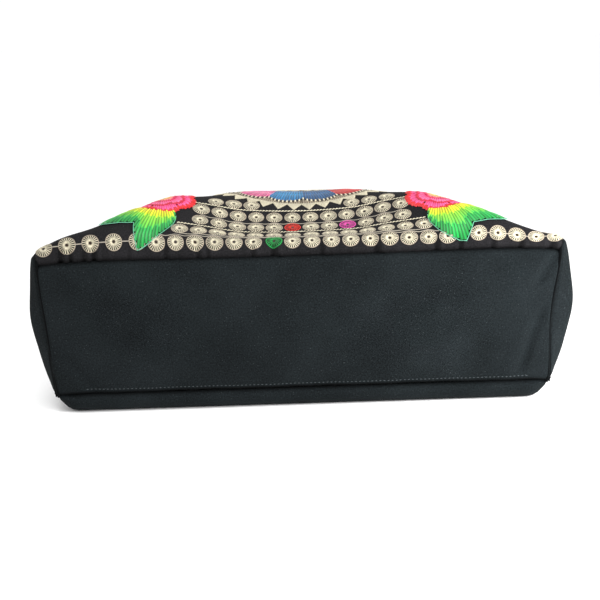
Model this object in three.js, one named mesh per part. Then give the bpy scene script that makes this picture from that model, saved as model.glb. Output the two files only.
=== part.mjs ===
// Embroidered tote bag, lying on its back with its base towards -Y and its mouth towards +Y.
// Each cloth panel is a curved sheet with a real wall. The panels meet at mitred seams.
// Millimetres, +Z up. The origin is on the surface that the bag lies on, under the middle of its back.
import * as THREE from 'three';

// Cloth sizes, measured along the cloth.
const BASE_TOP_WIDTH = 379;      // the base panel along its seam to the front panel
const BASE_BOTTOM_WIDTH = 362;   // the base panel along its seam to the back panel
const BASE_DEPTH = 99;           // the base panel from seam to seam
const PANEL_LENGTH = 320;        // front and back panels, from the base seam to the mouth
const GUSSET_WIDTH = 98;         // the cut width of each side gusset
const CLOTH = 1.6;
const HEM_DEPTH = 25;
const HEM_LAYERS = 2;            // the front and back panels fold over at the mouth
const SEAM_GAP = 0.55;            // each panel's edge stops this far short of its seam

// How the filled-out bag lies.
const ROLL_HEIGHT = 14.5;         // height of the base's lower seam above the surface
const ROLL_RADIUS = 9;           // the back panel turns under with this radius
const CORNER_DROP = 4;           // the front seam dips by this much at the bag's corners
const SEAM_SAG = 1.3;            // and sags by this much in the middle
const BASE_CROWN = 3;            // the base panel bulges outwards
const MOUTH_RISE = 70;           // the front panel's height at the middle of the mouth
const MOUTH_EDGE_RISE = 60;      // and at the mouth's two ends
const BACK_EDGE_RISE = 15;       // the back panel's side seams lift off the surface
const MOUTH_BACK_RISE = 5;
const BACK_FLAT_TO = 0.9;        // the share of the back panel's half width that lies flat
const EDGE_CURL = 2.5;           // how sharply its edges then lift
const WAIST = 5.5;               // each side draws in by this much half way up the bag
const BELLY = 2;                 // and swells by this much just behind the base
const BELLY_AT = 10;
const SIDE_BULGE = { left: 9, right: 11 };
const END_PINCH = { left: 0, right: 3 };

// Straps, cut to one length and sewn inside the mouth's hem.
const STRAP_WIDTH = 28;
const STRAP_THICK = 2.6;
const STRAP_LENGTH = 590;
const STRAP_SPACING = 150;
const STRAP_SEWN = 22;
const STRAP_CLEARANCE = 0.6;

// The front panel's fall line at stations across its half width, from its middle to its side seam.
// Lengths are shares of PANEL_LENGTH and angles are degrees above the surface.
// The cloth leaves the base seam at `lean`, keeps it for `stand`, eases to `ledge`, climbs again and rolls over at `crest`.
const FRONT_STATIONS = [
  { across: 0.00, lean: 58, stand: 0.022, ledgeAt: 0.053, ledge: -4, climbAt: 0.181, climb: 30, crestAt: 0.378 },
  { across: 0.20, lean: 58, stand: 0.022, ledgeAt: 0.056, ledge: -2, climbAt: 0.178, climb: 30, crestAt: 0.362 },
  { across: 0.37, lean: 56, stand: 0.022, ledgeAt: 0.069, ledge: 12, climbAt: 0.163, climb: 28, crestAt: 0.291 },
  { across: 0.48, lean: 58, stand: 0.022, ledgeAt: 0.072, ledge: 22, climbAt: 0.150, climb: 30, crestAt: 0.244 },
  { across: 0.60, lean: 66, stand: 0.025, ledgeAt: 0.075, ledge: 32, climbAt: 0.119, climb: 24, crestAt: 0.181 },
  { across: 0.77, lean: 78, stand: 0.034, ledgeAt: 0.056, ledge: 42, climbAt: 0.072, climb: 18, crestAt: 0.103 },
  { across: 0.87, lean: 78, stand: 0.036, ledgeAt: 0.050, ledge: 42, climbAt: 0.059, climb: 14, crestAt: 0.075 },
  { across: 0.95, lean: 78, stand: 0.028, ledgeAt: 0.036, ledge: 38, climbAt: 0.044, climb: 12, crestAt: 0.056 },
  { across: 1.00, lean: 76, stand: 0.010, ledgeAt: 0.024, ledge: 38, climbAt: 0.034, climb: 8, crestAt: 0.048 },
];
// Where the front panel fills out or settles, as shares of its half width, with heights in millimetres.
const FRONT_SWELLS = [
  { across: -0.55, reach: 0.30, rise: 2.2 },
  { across: 0.55, reach: 0.16, rise: -1.2 },
  { across: 0.90, reach: 0.12, rise: -5.5 },
];
const SWELL_FROM = 0.05;
const CREST_ANGLE = -12;
const FALL_FROM = 0.3;           // shares of the way from the crest to the mouth
const FALL_TO = 0.8;
const MOUTH_ANGLE = -6;

// Soft dents in the base panel: places and reaches as shares of its width and depth.
const BASE_DENTS = [
  { across: 0.90, up: 0.78, reachAcross: 0.035, reachUp: 0.22, depth: 2.2 },
  { across: 0.87, up: 0.22, reachAcross: 0.045, reachUp: 0.24, depth: 2.6 },
  { across: -0.80, up: 0.12, reachAcross: 0.07, reachUp: 0.20, depth: 1.6 },
];

// Each strap's course from the mouth to the middle of its arch, as shares of that length.
// `turn` goes from straight out of the mouth, 0, to level across it, 1, and `bow` says where it may splay.
// `height` is a share of its height at the mouth, and `roll` is in degrees from lying flat to standing on edge.
const STRAP_COURSES = {
  back: [
    { along: 0.00, turn: 0.00, bow: 0, height: 1.00, roll: 0 },
    { along: 0.12, turn: 0.00, bow: 1, height: 0.30, roll: 14 },
    { along: 0.30, turn: 0.02, bow: 1, height: 0.00, roll: 62 },
    { along: 0.48, turn: 0.12, bow: 1, height: 0.00, roll: 84 },
    { along: 1.00, turn: 1.00, bow: 0, height: 0.00, roll: 86 },
  ],
  front: [
    { along: 0.00, turn: 0.00, bow: 0, height: 1.00, roll: 0 },
    { along: 0.14, turn: 0.00, bow: 1, height: 1.02, roll: 6 },
    { along: 0.60, turn: 0.16, bow: 1, height: 0.00, roll: 72 },
    { along: 0.72, turn: 0.35, bow: 1, height: 0.00, roll: 84 },
    { along: 1.00, turn: 1.00, bow: 0, height: 0.00, roll: 86 },
  ],
};

const PROFILE_STEP = 1;
const PANEL_COLUMNS = 26;
const PANEL_ROWS = 19;
const BASE_ROWS = 8;
const GUSSET_ROWS = 8;
const ROW_CROWDING = 1.6;        // panel rows lie closer together towards the base
const STRAP_STEPS = 26;          // for each half of a strap
const STRAP_WALK = 260;

const HALF_TOP = BASE_TOP_WIDTH / 2;
const HALF_BOTTOM = BASE_BOTTOM_WIDTH / 2;
const SEAM_HEIGHT = ROLL_HEIGHT + BASE_DEPTH;
const HALF_LENGTH = PANEL_LENGTH / 2;

const lerp = (a, b, t) => a + (b - a) * t;
const clamp01 = (t) => Math.min(1, Math.max(0, t));
const smooth = (t) => clamp01(t) ** 2 * (3 - 2 * clamp01(t));
const radians = THREE.MathUtils.degToRad;

// One column of a table at a place between its rows, as a smooth curve with no overshoot.
function column(rows, place, key, at) {
  const x = rows.map((row) => row[place]);
  const y = rows.map((row) => row[key]);
  const slope = x.slice(1).map((right, i) => (y[i + 1] - y[i]) / (right - x[i]));
  const tangent = x.map((_, i) => {
    if (i === 0) return 0;
    if (i === x.length - 1) return slope[i - 1];
    if (slope[i - 1] * slope[i] <= 0) return 0;
    const before = x[i] - x[i - 1];
    const after = x[i + 1] - x[i];
    const heavy = 2 * after + before;
    const light = after + 2 * before;
    return (heavy + light) / (heavy / slope[i - 1] + light / slope[i]);
  });
  const i = Math.max(0, Math.min(x.length - 2, x.findIndex((value) => value >= at) - 1));
  const width = x[i + 1] - x[i];
  const t = clamp01((at - x[i]) / width);
  const start = (1 + 2 * t) * (1 - t) ** 2 * y[i] + t * (1 - t) ** 2 * width * tangent[i];
  return start + t * t * (3 - 2 * t) * y[i + 1] + t * t * (t - 1) * width * tangent[i + 1];
}

// Linear interpolation through knots given as [place, value] pairs.
function through(knots, at) {
  const i = Math.max(1, knots.findIndex(([place]) => place >= at));
  if (at >= knots.at(-1)[0]) return knots.at(-1)[1];
  const [[from, low], [to, high]] = [knots[i - 1], knots[i]];
  return lerp(low, high, clamp01((at - from) / Math.max(to - from, 1e-6)));
}

// The half width of the front panel, and of the back panel, at a distance from the base.
function drawnIn(half, y) {
  const belly = BELLY * smooth(y / BELLY_AT);
  const waist = (WAIST + BELLY) * smooth((y - BELLY_AT) / (HALF_LENGTH - BELLY_AT));
  return half + belly - waist;
}

// Walks along the front cloth at one place across it: heights and distances at each step.
const profiles = new Map();
function frontProfile(u) {
  const across = Math.abs(u);
  const kept = profiles.get(across);
  if (kept) return kept;
  const at = (key) => column(FRONT_STATIONS, 'across', key, across);
  const crest = at('crestAt') * PANEL_LENGTH;
  const foot = SEAM_HEIGHT + SEAM_SAG * across ** 2 - CORNER_DROP * across ** 8;
  const rim = lerp(MOUTH_RISE, MOUTH_EDGE_RISE, across ** 2);
  const steps = Math.round(PANEL_LENGTH / PROFILE_STEP);
  const walk = (fall) => {
    const knots = [
      [0, at('lean')],
      [at('stand') * PANEL_LENGTH, at('lean')],
      [at('ledgeAt') * PANEL_LENGTH, at('ledge')],
      [at('climbAt') * PANEL_LENGTH, at('climb')],
      [crest, CREST_ANGLE],
      [lerp(crest, PANEL_LENGTH, FALL_FROM), fall],
      [lerp(crest, PANEL_LENGTH, FALL_TO), fall],
      [PANEL_LENGTH, MOUTH_ANGLE],
    ];
    const points = [[0, foot]];
    for (let i = 1; i <= steps; i += 1) {
      const angle = radians(through(knots, (i - 0.5) * (PANEL_LENGTH / steps)));
      const [y, z] = points.at(-1);
      const step = PANEL_LENGTH / steps;
      points.push([y + Math.cos(angle) * step, z + Math.sin(angle) * step]);
    }
    return points;
  };
  let steep = -80;
  let shallow = 30;
  for (let i = 0; i < 26; i += 1) {
    const fall = (steep + shallow) / 2;
    if (walk(fall).at(-1)[1] > rim) shallow = fall;
    else steep = fall;
  }
  const points = walk((steep + shallow) / 2);
  profiles.set(across, points);
  return points;
}

// The cloths' outer surfaces. u runs across from -1 to 1, and v along the cloth from the base seam, 0 to 1.
function frontCloth(u, v) {
  const points = frontProfile(u);
  const at = clamp01(v) * (points.length - 1);
  const i = Math.min(points.length - 2, Math.floor(at));
  const y = lerp(points[i][0], points[i + 1][0], at - i);
  const z = lerp(points[i][1], points[i + 1][1], at - i);
  const swell = FRONT_SWELLS.reduce((sum, s) => sum + s.rise * Math.exp(-(((u - s.across) / s.reach) ** 2)), 0);
  const raised = swell * smooth(v / SWELL_FROM) * (1 - v) * (1 - u ** 20);
  return new THREE.Vector3(u * drawnIn(HALF_TOP, y), y, z + raised);
}

function backCloth(u, v) {
  const drop = ROLL_HEIGHT - ROLL_RADIUS;
  const quarter = (Math.PI / 2) * ROLL_RADIUS;
  const along = v * PANEL_LENGTH;
  const turn = Math.min(Math.PI / 2, Math.max(0, along - drop) / ROLL_RADIUS);
  const flat = Math.max(0, along - drop - quarter);
  const middleY = ROLL_RADIUS * (1 - Math.cos(turn)) + flat;
  const middleZ = ROLL_HEIGHT - Math.min(along, drop) - ROLL_RADIUS * Math.sin(turn);
  const edgeRise = lerp(BACK_EDGE_RISE, MOUTH_BACK_RISE, smooth((v - 0.5) * 2));
  const edgeZ = lerp(ROLL_HEIGHT - 2, edgeRise, smooth(v * 8));
  const edge = clamp01((Math.abs(u) - BACK_FLAT_TO) / (1 - BACK_FLAT_TO)) ** EDGE_CURL;
  const y = lerp(middleY, along * (middleY + 1 > along ? 1 : 0.985), edge);
  return new THREE.Vector3(u * drawnIn(HALF_BOTTOM, y), y, lerp(middleZ, edgeZ, edge));
}

const sideOf = (u) => (u < 0 ? 'left' : 'right');

function baseCloth(u, down) {
  const top = frontCloth(u, 0);
  const bottom = backCloth(u, 0);
  const point = top.lerp(bottom, down);
  point.x -= Math.sign(u) * END_PINCH[sideOf(u)] * Math.sin(Math.PI * down) ** 2 * u ** 4;
  const crown = (1 - u ** 4) * (1 - (2 * down - 1) ** 4);
  point.y -= BASE_CROWN * crown;
  for (const dent of BASE_DENTS) {
    const far = ((u - dent.across) / dent.reachAcross) ** 2 + ((1 - down - dent.up) / dent.reachUp) ** 2;
    point.y += dent.depth * Math.exp(-far) * crown;
  }
  return point;
}

// A gusset bulges out just behind the base and folds inwards towards the mouth, keeping its cut width.
const FLANGE = 0.1;              // the share of the gusset at each seam that stays flat
const FOLD_SHARE = 0.93;         // a rounded fold is a little shallower than a sharp one
function gussetCloth(side, down, v) {
  const sign = side === 'left' ? -1 : 1;
  const top = frontCloth(sign, v);
  const bottom = backCloth(sign, v);
  const point = top.clone().lerp(bottom, down);
  const slack = Math.max(0, (GUSSET_WIDTH / 2) ** 2 - (top.distanceTo(bottom) / 2) ** 2);
  const along = v * PANEL_LENGTH;
  const folding = smooth((along - 40) / 120);
  const bulge = SIDE_BULGE[side] * smooth(along / 14) * (1 - folding);
  const fold = FOLD_SHARE * Math.sqrt(slack) * folding;
  const crease = Math.sin(Math.PI * clamp01((down - FLANGE) / (1 - 2 * FLANGE))) ** 2;
  point.x += sign * (bulge * Math.sin(Math.PI * down) - fold * crease);
  point.x -= sign * END_PINCH[side] * Math.sin(Math.PI * down) ** 2 * (1 - smooth(along / 14));
  return point;
}

const GUSSETS = {
  left: (down, v) => gussetCloth('left', down, v),
  right: (down, v) => gussetCloth('right', down, v),
};

// The outward unit normal of a surface at (a, b), given the sign that makes it point out of the bag.
function normalAt(surface, sign, a, b, limits) {
  const nudge = 1e-3;
  const [lowA, highA, lowB, highB] = limits;
  const alongA = surface(Math.min(highA, a + nudge), b).sub(surface(Math.max(lowA, a - nudge), b));
  const alongB = surface(a, Math.min(highB, b + nudge)).sub(surface(a, Math.max(lowB, b - nudge)));
  return alongA.cross(alongB).normalize().multiplyScalar(sign);
}

const PANEL_LIMITS = [-1, 1, 0, 1];
const GUSSET_LIMITS = [0, 1, 0, 1];
const normals = {
  front: (u, v) => normalAt(frontCloth, 1, u, v, PANEL_LIMITS),
  back: (u, v) => normalAt(backCloth, -1, u, v, PANEL_LIMITS),
  base: (u, down) => normalAt(baseCloth, -1, u, down, PANEL_LIMITS),
  left: (down, v) => normalAt(GUSSETS.left, -1, down, v, GUSSET_LIMITS),
  right: (down, v) => normalAt(GUSSETS.right, 1, down, v, GUSSET_LIMITS),
};

// The normals of the panels that meet at a point of each panel's edge, its own first.
function meeting(panel, a, b) {
  const found = [normals[panel](a, b)];
  const onSide = Math.abs(Math.abs(a) - 1) < 1e-9;
  if (panel === 'front' || panel === 'back') {
    const down = panel === 'front' ? 0 : 1;
    if (b === 0) found.push(normals.base(a, down));
    if (onSide) found.push(normals[sideOf(a)](down, b));
  }
  if (panel === 'base') {
    if (b === 0) found.push(normals.front(a, 0));
    if (b === 1) found.push(normals.back(a, 0));
    if (onSide) found.push(normals[sideOf(a)](b, 0));
  }
  if (panel === 'left' || panel === 'right') {
    const u = panel === 'left' ? -1 : 1;
    if (a === 0) found.push(normals.front(u, b));
    if (a === 1) found.push(normals.back(u, b));
    if (b === 0) found.push(normals.base(u, a));
  }
  return found;
}

const MITRE_LIMIT = 2.4;

// The way from the outer to the inner face, in walls: mitred where panels meet.
function inwards(panel, a, b) {
  const found = meeting(panel, a, b);
  const shared = found.reduce((sum, normal) => sum.add(normal), new THREE.Vector3()).normalize();
  const stretch = Math.min(MITRE_LIMIT, 1 / Math.max(0.1, shared.dot(found[0])));
  return shared.multiplyScalar(-stretch);
}

// Two grids of points, outer and inner, closed into one solid sheet.
function closedSheet(outer, inner, outwardFirst) {
  const rows = outer.length;
  const columns = outer[0].length;
  const positions = [];
  const put = (grid) => grid.forEach((row) => row.forEach((p) => positions.push(p.x, p.y, p.z)));
  put(outer);
  put(inner);
  const faces = [];
  const quad = (p, q, r, s) => (outwardFirst ? faces.push(p, q, r, p, r, s) : faces.push(p, r, q, p, s, r));
  const out = (i, j) => i * columns + j;
  const back = (i, j) => rows * columns + i * columns + j;
  for (let i = 0; i < rows - 1; i += 1) {
    for (let j = 0; j < columns - 1; j += 1) {
      quad(out(i, j), out(i, j + 1), out(i + 1, j + 1), out(i + 1, j));
      quad(back(i, j), back(i + 1, j), back(i + 1, j + 1), back(i, j + 1));
    }
  }
  for (let j = 0; j < columns - 1; j += 1) {
    quad(out(0, j + 1), out(0, j), back(0, j), back(0, j + 1));
    quad(out(rows - 1, j), out(rows - 1, j + 1), back(rows - 1, j + 1), back(rows - 1, j));
  }
  for (let i = 0; i < rows - 1; i += 1) {
    quad(out(i, 0), out(i + 1, 0), back(i + 1, 0), back(i, 0));
    quad(out(i + 1, columns - 1), out(i, columns - 1), back(i, columns - 1), back(i + 1, columns - 1));
  }
  const geometry = new THREE.BufferGeometry();
  geometry.setAttribute('position', new THREE.Float32BufferAttribute(positions, 3));
  geometry.setIndex(faces);
  geometry.computeVertexNormals();
  return geometry;
}

// Draws a grid's outer rows and columns in from the seams.
function drawIn(grid, edges) {
  const pull = (edge, inside) => {
    const step = inside.clone().sub(edge);
    edge.add(step.setLength(SEAM_GAP));
  };
  const last = grid.length - 1;
  const end = grid[0].length - 1;
  const copy = grid.map((row) => row.map((point) => point.clone()));
  for (let j = 0; j <= end; j += 1) {
    if (edges.first) pull(grid[0][j], copy[1][j]);
    if (edges.last) pull(grid[last][j], copy[last - 1][j]);
  }
  for (let i = 0; i <= last; i += 1) {
    if (edges.sides) {
      pull(grid[i][0], copy[i][1]);
      pull(grid[i][end], copy[i][end - 1]);
    }
  }
}

const evenly = (count, low, high) => Array.from({ length: count + 1 }, (_, i) => lerp(low, high, i / count));

// Rows along a panel: crowded towards the base, with a step at the hem.
function lengthRows(count) {
  const hem = 1 - HEM_DEPTH / PANEL_LENGTH;
  const rows = evenly(count, 0, 1).map((t) => hem * t ** ROW_CROWDING);
  rows[count] = hem - 0.5 / PANEL_LENGTH;
  return [...rows, hem + 0.5 / PANEL_LENGTH, lerp(hem, 1, 0.5), 1];
}

const isHem = (v) => v > 1 - HEM_DEPTH / PANEL_LENGTH;

function panelMesh(name, panel, surface, rows, columns, options, colour) {
  const outer = [];
  const inner = [];
  for (const b of rows) {
    const layers = options.hem && isHem(b) ? HEM_LAYERS : 1;
    outer.push(columns.map((a) => surface(a, b)));
    inner.push(columns.map((a) => surface(a, b).addScaledVector(inwards(panel, a, b), CLOTH * layers)));
  }
  drawIn(outer, options.edges);
  drawIn(inner, options.edges);
  const geometry = closedSheet(outer, inner, options.outwardFirst);
  return clothMesh(name, geometry, colour);
}

function clothMesh(name, geometry, colour) {
  const material = new THREE.MeshStandardMaterial({ color: colour, roughness: 0.9, metalness: 0 });
  const mesh = new THREE.Mesh(geometry, material);
  mesh.name = name;
  return mesh;
}

// A strap's course from where it leaves the mouth to the middle of its arch.
function strapCourse(panel, start, heightAtMouth, rollAtMouth) {
  const rows = STRAP_COURSES[panel];
  const length = STRAP_LENGTH / 2 - STRAP_SEWN;
  const lowestAt = (along) => column(rows, 'along', 'height', along) * heightAtMouth;
  const rollAt = (along) => radians(column(rows, 'along', 'roll', along) + rollAtMouth * (1 - smooth(along * 4)));
  const halfTall = (roll) => (STRAP_WIDTH / 2) * Math.sin(Math.abs(roll)) + (STRAP_THICK / 2) * Math.cos(roll);
  const centreHeight = (along) => lowestAt(along) + halfTall(rollAt(along));
  const walk = (splay) => {
    const course = [{ centre: start.clone(), roll: rollAt(0) }];
    for (let i = 1; i <= STRAP_WALK; i += 1) {
      const middle = (i - 0.5) / STRAP_WALK;
      const rise = centreHeight(i / STRAP_WALK) - centreHeight((i - 1) / STRAP_WALK);
      const level = Math.sqrt(Math.max(0, (length / STRAP_WALK) ** 2 - rise ** 2));
      const turn = 90 * column(rows, 'along', 'turn', middle) + splay * column(rows, 'along', 'bow', middle);
      const step = new THREE.Vector3(-Math.sin(radians(turn)) * level, Math.cos(radians(turn)) * level, rise);
      course.push({ centre: course.at(-1).centre.clone().add(step), roll: rollAt(i / STRAP_WALK) });
    }
    return course;
  };
  let out = -60;
  let inside = 60;
  for (let i = 0; i < 26; i += 1) {
    const splay = (out + inside) / 2;
    if (walk(splay).at(-1).centre.x < 0) inside = splay;
    else out = splay;
  }
  return walk((out + inside) / 2);
}

// The two long edges of a strap at a point of its course, on its upper and its lower face.
function strapSection(centre, ahead, roll) {
  const flat = ahead.clone().cross(new THREE.Vector3(0, 0, 1)).normalize();
  const upright = flat.clone().cross(ahead);
  const acrossBand = flat.clone().multiplyScalar(Math.cos(roll)).addScaledVector(upright, Math.sin(roll));
  const faceOut = upright.multiplyScalar(Math.cos(roll)).addScaledVector(flat, -Math.sin(roll));
  const corner = (wide, thick) => centre.clone()
    .addScaledVector(acrossBand, (wide * STRAP_WIDTH) / 2)
    .addScaledVector(faceOut, (thick * STRAP_THICK) / 2);
  return { upper: [corner(-1, 1), corner(1, 1)], lower: [corner(-1, -1), corner(1, -1)] };
}

function strapMesh(name, panel, cloth, half, colour) {
  const u = STRAP_SPACING / 2 / half;
  const under = CLOTH * HEM_LAYERS + STRAP_CLEARANCE + STRAP_THICK / 2;
  const sewnAt = (v) => cloth(u, v).addScaledVector(normals[panel](u, v), -under);
  const sewn = evenly(2, 1 - STRAP_SEWN / PANEL_LENGTH, 1).map(sewnAt);
  const slope = cloth(u + 0.01, 1).sub(cloth(u - 0.01, 1));
  const tilt = THREE.MathUtils.radToDeg(Math.atan2(slope.z, slope.x));
  const start = sewn.pop();
  const tallAtMouth = (STRAP_WIDTH / 2) * Math.sin(Math.abs(radians(tilt))) + (STRAP_THICK / 2) * Math.cos(radians(tilt));
  const course = strapCourse(panel, start, start.z - tallAtMouth, tilt);
  const stations = sewn.map((centre) => ({ centre, roll: radians(tilt) }));
  for (let i = 0; i <= STRAP_STEPS; i += 1) stations.push(course[Math.round((i * STRAP_WALK) / STRAP_STEPS)]);
  const sections = stations.map(({ centre, roll }, i) => {
    const before = stations[Math.max(0, i - 1)].centre;
    const after = stations[i + 1]?.centre ?? new THREE.Vector3(-before.x, before.y, before.z);
    return strapSection(centre, after.clone().sub(before).normalize(), roll);
  });
  const mirrored = (points) => points.map((p) => new THREE.Vector3(-p.x, p.y, p.z));
  const rightHalf = (face) => sections.map((section) => section[face]);
  const whole = (face) => [...rightHalf(face), ...rightHalf(face).slice(0, -1).reverse().map(mirrored)];
  return clothMesh(name, closedSheet(whole('upper'), whole('lower'), true), colour);
}

const CANVAS = 0x23272a;
const EMBROIDERED_GROUND = 0x2b292c;
const WEBBING = 0x1f2225;

// Panels that share a seam share its points, so their edges meet all along it.
const across = evenly(PANEL_COLUMNS, -1, 1).map((t) => Math.sign(t) * (1 - (1 - Math.abs(t)) ** 1.3));
const alongPanel = lengthRows(PANEL_ROWS);
const seamToSeam = evenly(GUSSET_ROWS, 0, 1);
const mouthEdges = { first: true, last: false, sides: true };

const bag = new THREE.Group();
bag.add(panelMesh(
  'front_panel', 'front', frontCloth, alongPanel, across,
  { hem: true, edges: mouthEdges, outwardFirst: true }, EMBROIDERED_GROUND,
));
bag.add(panelMesh(
  'back_panel', 'back', backCloth, alongPanel, across,
  { hem: true, edges: mouthEdges, outwardFirst: false }, CANVAS,
));
bag.add(panelMesh(
  'base_panel', 'base', baseCloth, evenly(BASE_ROWS, 0, 1), across,
  { edges: { first: true, last: true, sides: true }, outwardFirst: false }, CANVAS,
));
for (const side of ['left', 'right']) {
  bag.add(panelMesh(
    `side_gusset_${side}`, side, GUSSETS[side], alongPanel, seamToSeam,
    { hem: false, edges: mouthEdges, outwardFirst: side === 'right' }, CANVAS,
  ));
}

bag.add(strapMesh('strap_back', 'back', backCloth, drawnIn(HALF_BOTTOM, PANEL_LENGTH), WEBBING));
bag.add(strapMesh('strap_front', 'front', frontCloth, drawnIn(HALF_TOP, PANEL_LENGTH), WEBBING));

bag.position.y = -HALF_LENGTH;
export default bag;
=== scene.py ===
"""Embroidered tote bag, lying on its back with its base towards the viewer.

Lengths are in millimetres, with the base seam's plane at y = 0 and the bag's mouth towards +Y, and
become metres as each mesh is made. Each panel has its own coordinates along the cloth.
"""

import math

import bpy
import numpy as np
from mathutils import Matrix, Vector


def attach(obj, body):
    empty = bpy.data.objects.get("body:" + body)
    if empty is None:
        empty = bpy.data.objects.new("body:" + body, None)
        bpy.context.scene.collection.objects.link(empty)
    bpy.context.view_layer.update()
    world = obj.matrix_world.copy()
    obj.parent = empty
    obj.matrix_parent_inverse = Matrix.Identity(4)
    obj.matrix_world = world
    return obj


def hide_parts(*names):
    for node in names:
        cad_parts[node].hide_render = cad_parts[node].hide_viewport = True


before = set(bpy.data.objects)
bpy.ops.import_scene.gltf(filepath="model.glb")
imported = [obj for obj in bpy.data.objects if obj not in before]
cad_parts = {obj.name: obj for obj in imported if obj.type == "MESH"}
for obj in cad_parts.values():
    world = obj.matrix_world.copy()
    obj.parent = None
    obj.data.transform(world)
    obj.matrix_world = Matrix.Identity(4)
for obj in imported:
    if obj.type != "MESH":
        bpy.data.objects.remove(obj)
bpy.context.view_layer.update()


# The room: a wide floor of matt white paper, soft light from all round with a window lamp at the
# right and a ceiling lamp, and a camera low in front of the base. The standard view keeps white white.
MM = 0.001
PANEL_LENGTH = 320
SEAM_HEIGHT = 113.5

CAMERA_DISTANCE = 800
CAMERA_RISE = math.radians(12)
CAMERA_ROLL = math.radians(-1.85)
PIXELS_PER_FRAME = 600
MM_PER_PIXEL = 0.7116
SEAM_PIXEL = (298.5, 255.0)
SENSOR_WIDTH = 36

camera_data = bpy.data.cameras.new("camera")
camera = bpy.data.objects.new("camera", camera_data)
bpy.context.scene.collection.objects.link(camera)
bpy.context.scene.camera = camera
camera_data.sensor_width = SENSOR_WIDTH
camera_data.lens = SENSOR_WIDTH * CAMERA_DISTANCE / MM_PER_PIXEL / PIXELS_PER_FRAME
camera_data.shift_x = 0.5 - SEAM_PIXEL[0] / PIXELS_PER_FRAME
camera_data.shift_y = SEAM_PIXEL[1] / PIXELS_PER_FRAME - 0.5
camera.rotation_mode = "QUATERNION"
camera.location = (
    0,
    (-PANEL_LENGTH / 2 - CAMERA_DISTANCE * math.cos(CAMERA_RISE)) * MM,
    (SEAM_HEIGHT + CAMERA_DISTANCE * math.sin(CAMERA_RISE)) * MM,
)
level = Matrix.Rotation(math.pi / 2 - CAMERA_RISE, 4, "X")
camera.rotation_quaternion = (level @ Matrix.Rotation(CAMERA_ROLL, 4, "Z")).to_quaternion()

bpy.context.scene.view_settings.view_transform = "Standard"
LIGHTS = [
    {"name": "window", "at": (0.37, -0.37, 0.19), "size": 0.24, "power": 4.0},
    {"name": "ceiling", "at": (-0.3, -0.5, 1.2), "size": 0.5, "power": 7},
]
LAMPS_AIM_AT = Vector((0, 0, 0.06))
SKY_STRENGTH = 1.04
for light in LIGHTS:
    lamp = bpy.data.lights.new(light["name"], "AREA")
    lamp.size = light["size"]
    lamp.energy = light["power"]
    holder = bpy.data.objects.new(light["name"], lamp)
    bpy.context.scene.collection.objects.link(holder)
    holder.location = light["at"]
    holder.visible_camera = False
    holder.visible_glossy = light["name"] == "ceiling"
    towards = LAMPS_AIM_AT - holder.location
    holder.rotation_euler = towards.to_track_quat("-Z", "Y").to_euler()

world = bpy.data.worlds.new("studio")
bpy.context.scene.world = world
world.use_nodes = True
sky = world.node_tree.nodes["Background"].inputs
sky["Color"].default_value = (1, 1, 1, 1)
sky["Strength"].default_value = SKY_STRENGTH


class Wire:
    """A shader socket that does arithmetic, and adds the nodes that an expression needs."""

    def __init__(self, tree, socket=None):
        self.tree = tree
        self.socket = socket

    def node(self, kind, settings=None, inputs=None, output=0):
        made = self.tree.nodes.new("ShaderNode" + kind)
        for name, value in (settings or {}).items():
            if name == "stops":
                ramp = made.color_ramp
                while len(ramp.elements) < len(value):
                    ramp.elements.new(1)
                for element, (place, colour) in zip(ramp.elements, value):
                    element.position = place
                    element.color = (*colour, 1)
            else:
                setattr(made, name, value)
        for name, value in (inputs or {}).items():
            if isinstance(value, Wire):
                self.tree.links.new(value.socket, made.inputs[name])
            else:
                made.inputs[name].default_value = value
        return Wire(self.tree, made.outputs[output])

    def parts(self):
        """All outputs of this socket's node, such as the three numbers of a vector."""
        return [Wire(self.tree, socket) for socket in self.socket.node.outputs]

    def maths(self, operation, *values):
        return self.node("Math", {"operation": operation}, dict(enumerate(values)))

    def __add__(self, other):
        return self.maths("ADD", self, other)

    def __radd__(self, other):
        return self.maths("ADD", other, self)

    def __sub__(self, other):
        return self.maths("SUBTRACT", self, other)

    def __rsub__(self, other):
        return self.maths("SUBTRACT", other, self)

    def __mul__(self, other):
        return self.maths("MULTIPLY", self, other)

    def __rmul__(self, other):
        return self.maths("MULTIPLY", other, self)

    def sine(self):
        return self.maths("SINE", self)

    def over(self, edge, softness):
        """0 up to the edge, rising to 1 over its softness."""
        low = self.maths("SUBTRACT", self, edge)
        return self.node("Math", {"operation": "DIVIDE", "use_clamp": True}, {0: low, 1: softness})

    def mix(self, first, second):
        """The first colour where this is 0, and the second where it is 1."""
        settings = {"data_type": "RGBA"}
        return self.node("Mix", settings, {0: self, 6: first, 7: second}, output=2)


def material(name, paint, **constants):
    """A material whose Principled shader has the constants given and the wires that paint returns."""
    made = bpy.data.materials.new(name)
    made.use_nodes = True
    shader = made.node_tree.nodes["Principled BSDF"]
    for socket, value in constants.items():
        shader.inputs[socket.replace("_", " ")].default_value = value
    for socket, wire in paint(Wire(made.node_tree)).items():
        made.node_tree.links.new(wire.socket, shader.inputs[socket])
    return made


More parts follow.
